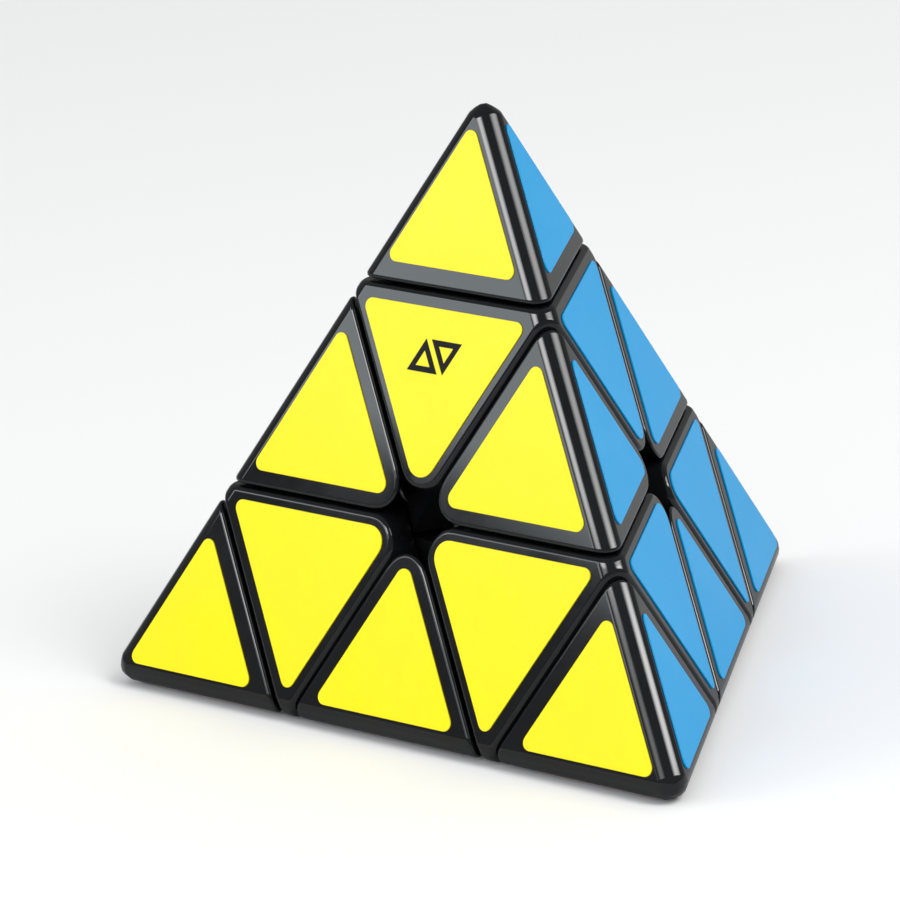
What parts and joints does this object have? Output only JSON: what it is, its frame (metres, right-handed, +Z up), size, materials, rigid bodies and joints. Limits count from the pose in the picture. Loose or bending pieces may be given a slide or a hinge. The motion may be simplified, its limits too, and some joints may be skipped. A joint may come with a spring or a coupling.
{
  "type": "pyramid twisty puzzle",
  "caption": "Tetrahedral twisty puzzle of black plastic with coloured triangle stickers; its corner tips and layers turn about a hidden core with sprung screws.",
  "frame": {"origin": "centre of the core, where the four turning axes meet, which is the middle of the tetrahedron", "axes": "+Z runs up through the top corner and is one of the turning axes; the face towards -Y is yellow; the puzzle stands on its red face; the left and right corners lie to -X and +X, the back corner to +Y"},
  "size_m": [0.0982, 0.0856, 0.0813],
  "materials": {
    "black_plastic": "moulded black plastic, glossy, with softly rounded edges",
    "core_plastic": "moulded black plastic, plain inside finish",
    "sticker_yellow": "smooth vinyl sticker, bright yellow",
    "sticker_blue": "smooth vinyl sticker, sky blue",
    "sticker_green": "smooth vinyl sticker, green",
    "sticker_red": "smooth vinyl sticker, red",
    "screw_steel": "plated steel screw",
    "spring_steel": "drawn spring wire, bright"
  },
  "bodies": {
    "core": {"core_spider": "core_plastic", "screw_top": "screw_steel", "screw_left": "screw_steel", "screw_right": "screw_steel", "screw_back": "screw_steel", "spring_top": "spring_steel", "spring_left": "spring_steel", "spring_right": "spring_steel", "spring_back": "spring_steel"},
    "layer_top": {"axial_top": "black_plastic", "sticker_yellow_axial_top": "sticker_yellow", "sticker_blue_axial_top": "sticker_blue", "sticker_green_axial_top": "sticker_green"},
    "corner_top": {"tip_top": "black_plastic", "sticker_yellow_tip_top": "sticker_yellow", "sticker_blue_tip_top": "sticker_blue", "sticker_green_tip_top": "sticker_green"},
    "layer_left": {"axial_left": "black_plastic", "sticker_yellow_axial_left": "sticker_yellow", "sticker_green_axial_left": "sticker_green", "sticker_red_axial_left": "sticker_red"},
    "corner_left": {"tip_left": "black_plastic", "sticker_yellow_tip_left": "sticker_yellow", "sticker_green_tip_left": "sticker_green", "sticker_red_tip_left": "sticker_red"},
    "layer_right": {"axial_right": "black_plastic", "sticker_yellow_axial_right": "sticker_yellow", "sticker_blue_axial_right": "sticker_blue", "sticker_red_axial_right": "sticker_red"},
    "corner_right": {"tip_right": "black_plastic", "sticker_yellow_tip_right": "sticker_yellow", "sticker_blue_tip_right": "sticker_blue", "sticker_red_tip_right": "sticker_red"},
    "layer_back": {"axial_back": "black_plastic", "sticker_blue_axial_back": "sticker_blue", "sticker_green_axial_back": "sticker_green", "sticker_red_axial_back": "sticker_red"},
    "corner_back": {"tip_back": "black_plastic", "sticker_blue_tip_back": "sticker_blue", "sticker_green_tip_back": "sticker_green", "sticker_red_tip_back": "sticker_red"},
    "side_top_left": {"edge_top_left": "black_plastic", "sticker_yellow_edge_top_left": "sticker_yellow", "sticker_green_edge_top_left": "sticker_green"},
    "side_top_right": {"edge_top_right": "black_plastic", "sticker_yellow_edge_top_right": "sticker_yellow", "sticker_blue_edge_top_right": "sticker_blue"},
    "side_top_back": {"edge_top_back": "black_plastic", "sticker_blue_edge_top_back": "sticker_blue", "sticker_green_edge_top_back": "sticker_green"},
    "side_left_right": {"edge_left_right": "black_plastic", "sticker_yellow_edge_left_right": "sticker_yellow", "sticker_red_edge_left_right": "sticker_red"},
    "side_right_back": {"edge_right_back": "black_plastic", "sticker_blue_edge_right_back": "sticker_blue", "sticker_red_edge_right_back": "sticker_red"},
    "side_back_left": {"edge_back_left": "black_plastic", "sticker_green_edge_back_left": "sticker_green", "sticker_red_edge_back_left": "sticker_red"}
  },
  "joints": [
    {"name": "turn_top_layer", "type": "hinge", "parent": "core", "child": "layer_top", "pos_m": [0, 0, 0], "axis": [0, 0, 1], "continuous": true},
    {"name": "turn_left_layer", "type": "hinge", "parent": "core", "child": "layer_left", "pos_m": [0, 0, 0], "axis": [-0.8165, -0.4714, -0.3333], "range_deg": [-360, 360]},
    {"name": "turn_right_layer", "type": "hinge", "parent": "core", "child": "layer_right", "pos_m": [0, 0, 0], "axis": [0.8165, -0.4714, -0.3333], "range_deg": [-360, 360]},
    {"name": "turn_back_layer", "type": "hinge", "parent": "core", "child": "layer_back", "pos_m": [0, 0, 0], "axis": [0, 0.9428, -0.3333], "range_deg": [-360, 360]},
    {"name": "turn_top_tip", "type": "hinge", "parent": "layer_top", "child": "corner_top", "pos_m": [0, 0, 0], "axis": [0, 0, 1], "continuous": true},
    {"name": "turn_left_tip", "type": "hinge", "parent": "layer_left", "child": "corner_left", "pos_m": [0, 0, 0], "axis": [-0.8165, -0.4714, -0.3333], "continuous": true},
    {"name": "turn_right_tip", "type": "hinge", "parent": "layer_right", "child": "corner_right", "pos_m": [0, 0, 0], "axis": [0.8165, -0.4714, -0.3333], "continuous": true},
    {"name": "turn_back_tip", "type": "hinge", "parent": "layer_back", "child": "corner_back", "pos_m": [0, 0, 0], "axis": [0, 0.9428, -0.3333], "continuous": true},
    {"name": "carry_top_left", "type": "hinge", "parent": "layer_top", "child": "side_top_left", "pos_m": [0, 0, 0], "axis": [-0.8165, -0.4714, -0.3333], "range_deg": [-360, 360]},
    {"name": "carry_top_right", "type": "hinge", "parent": "layer_top", "child": "side_top_right", "pos_m": [0, 0, 0], "axis": [0.8165, -0.4714, -0.3333], "range_deg": [-360, 360]},
    {"name": "carry_top_back", "type": "hinge", "parent": "layer_top", "child": "side_top_back", "pos_m": [0, 0, 0], "axis": [0, 0.9428, -0.3333], "range_deg": [-360, 360]},
    {"name": "carry_left_right", "type": "hinge", "parent": "layer_left", "child": "side_left_right", "pos_m": [0, 0, 0], "axis": [0.8165, -0.4714, -0.3333], "range_deg": [-360, 360]},
    {"name": "carry_right_back", "type": "hinge", "parent": "layer_right", "child": "side_right_back", "pos_m": [0, 0, 0], "axis": [0, 0.9428, -0.3333], "range_deg": [-360, 360]},
    {"name": "carry_back_left", "type": "hinge", "parent": "layer_back", "child": "side_back_left", "pos_m": [0, 0, 0], "axis": [-0.8165, -0.4714, -0.3333], "range_deg": [-360, 360]}
  ],
  "couplings": [
    {"joint": "carry_top_left", "follows": "turn_left_layer", "ratio": 1},
    {"joint": "carry_top_right", "follows": "turn_right_layer", "ratio": 1},
    {"joint": "carry_top_back", "follows": "turn_back_layer", "ratio": 1},
    {"joint": "carry_left_right", "follows": "turn_right_layer", "ratio": 1},
    {"joint": "carry_right_back", "follows": "turn_back_layer", "ratio": 1},
    {"joint": "carry_back_left", "follows": "turn_left_layer", "ratio": 1}
  ]
}
